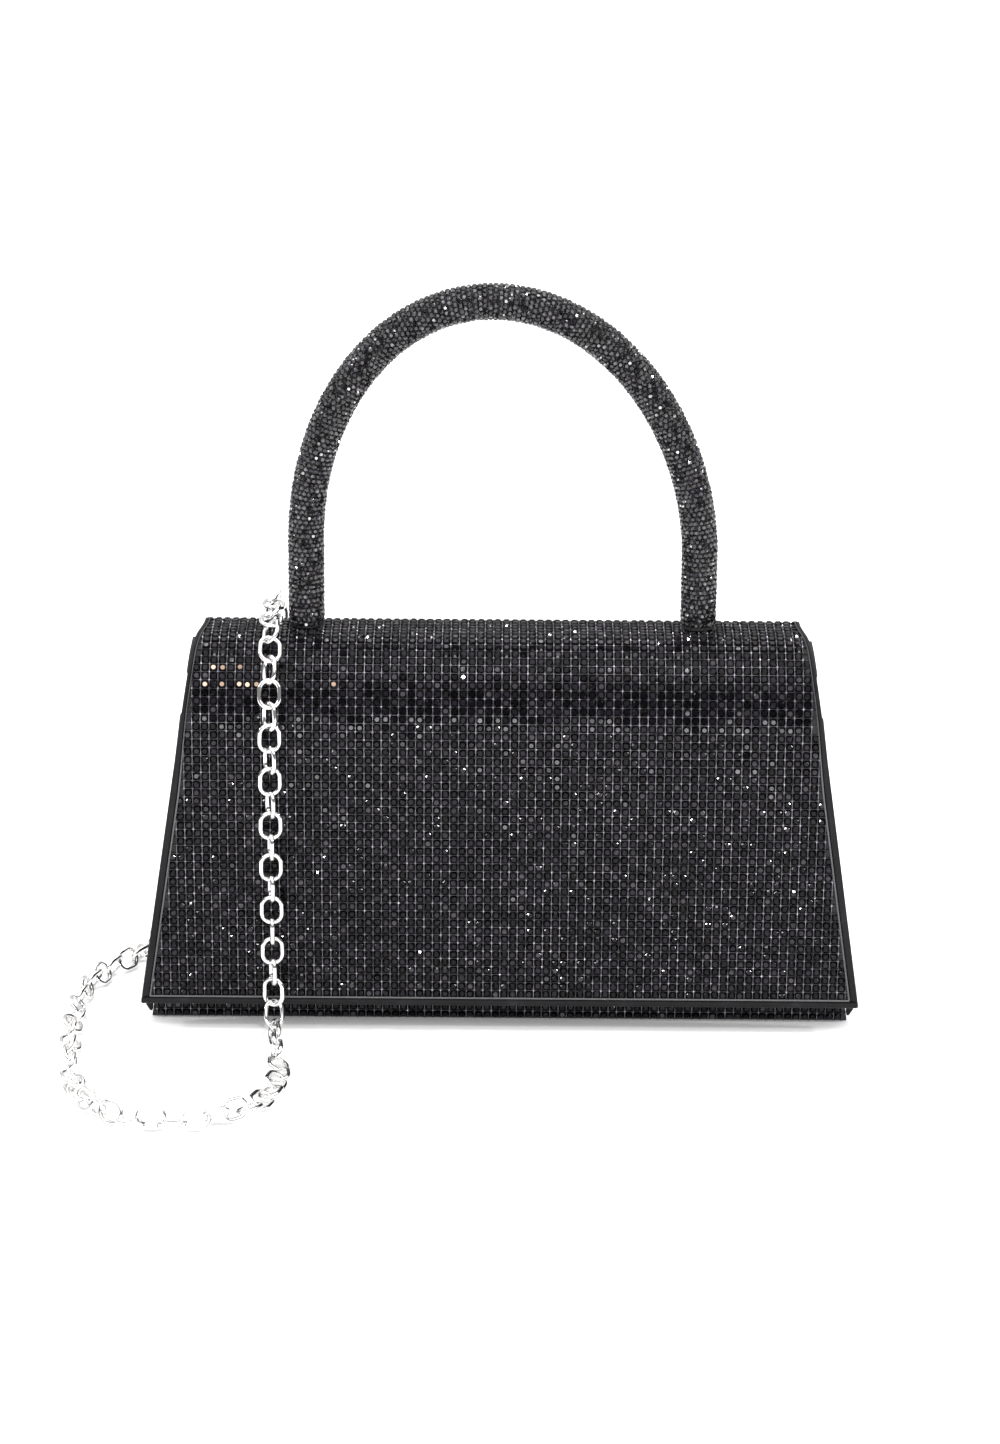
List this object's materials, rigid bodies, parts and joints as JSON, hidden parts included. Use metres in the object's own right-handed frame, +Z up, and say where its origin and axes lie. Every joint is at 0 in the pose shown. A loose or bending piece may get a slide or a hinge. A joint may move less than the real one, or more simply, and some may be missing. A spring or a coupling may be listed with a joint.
{
  "type": "evening bag",
  "caption": "Stiff wedge-shaped evening bag with a stone-set cover, hinged front flap, arched top handle and a free chain strap.",
  "frame": {"origin": "on the surface the bag stands on, under the middle of the bag's box, the free chain left out", "axes": "+X to the right seen from the front, +Y to the back, +Z up; the flap faces -Y"},
  "size_m": [0.2369, 0.2316, 0.2212],
  "materials": {
    "stone_mesh": "black faceted stones set in rows on dark mesh",
    "stiffener_board": "uncoated pressed grey board",
    "lining_cloth": "fine black lining twill with a slight sheen",
    "edge_binding": "black smooth coated binding, semi-gloss",
    "nickel_fittings": "nickel plate, satin",
    "polished_chain": "polished silver-tone plate",
    "handle_foam": "dense foam core",
    "paper_tie": "plain paper band"
  },
  "bodies": {
    "root": {"front_cover": "stone_mesh", "back_cover": "stone_mesh", "base_cover": "stone_mesh", "gusset_cover_left": "stone_mesh", "gusset_cover_right": "stone_mesh", "front_board": "stiffener_board", "back_board": "stiffener_board", "base_board": "stiffener_board", "gusset_board_left": "stiffener_board", "gusset_board_right": "stiffener_board", "front_lining": "lining_cloth", "back_lining": "lining_cloth", "base_lining": "lining_cloth", "gusset_lining_left": "lining_cloth", "gusset_lining_right": "lining_cloth", "slip_pocket": "lining_cloth", "hinge_strip": "stone_mesh", "mouth_binding_front": "edge_binding", "mouth_binding_left": "edge_binding", "mouth_binding_right": "edge_binding", "seam_flange_left": "edge_binding", "seam_flange_right": "edge_binding", "snap_socket": "nickel_fittings", "snap_socket_washer": "nickel_fittings", "strap_tab_left": "edge_binding", "strap_tab_right": "edge_binding", "strap_tab_rivet_left": "nickel_fittings", "strap_tab_rivet_right": "nickel_fittings", "chain_front_run": "polished_chain", "chain_back_rise": "polished_chain", "chain_coil": "polished_chain", "coil_tie": "paper_tie"},
    "flap": {"flap_cover": "stone_mesh", "flap_board": "stiffener_board", "flap_lining": "lining_cloth", "flap_binding_front": "edge_binding", "flap_binding_left": "edge_binding", "flap_binding_right": "edge_binding", "snap_stud": "nickel_fittings", "snap_stud_washer": "nickel_fittings", "handle_cover": "stone_mesh", "handle_core": "handle_foam", "handle_wire": "nickel_fittings", "handle_nut_left": "nickel_fittings", "handle_nut_right": "nickel_fittings"},
    "ring_left": {"strap_ring_left": "polished_chain"},
    "ring_right": {"strap_ring_right": "polished_chain"}
  },
  "joints": [
    {"name": "flap_hinge", "type": "hinge", "parent": "root", "child": "flap", "pos_m": [0, 0.0073, 0.1135], "axis": [-1, 0, 0], "range_deg": [0, 110], "deforming": ["hinge_strip", "chain_front_run"]},
    {"name": "ring_left_swing", "type": "hinge", "parent": "root", "child": "ring_left", "pos_m": [-0.067, 0.01275, 0.10055], "axis": [-1, 0, 0], "range_deg": [0, 165], "deforming": ["chain_front_run"]},
    {"name": "ring_right_swing", "type": "hinge", "parent": "root", "child": "ring_right", "pos_m": [0.067, 0.01275, 0.10055], "axis": [-1, 0, 0], "range_deg": [-165, 0], "deforming": ["chain_back_rise"]}
  ]
}
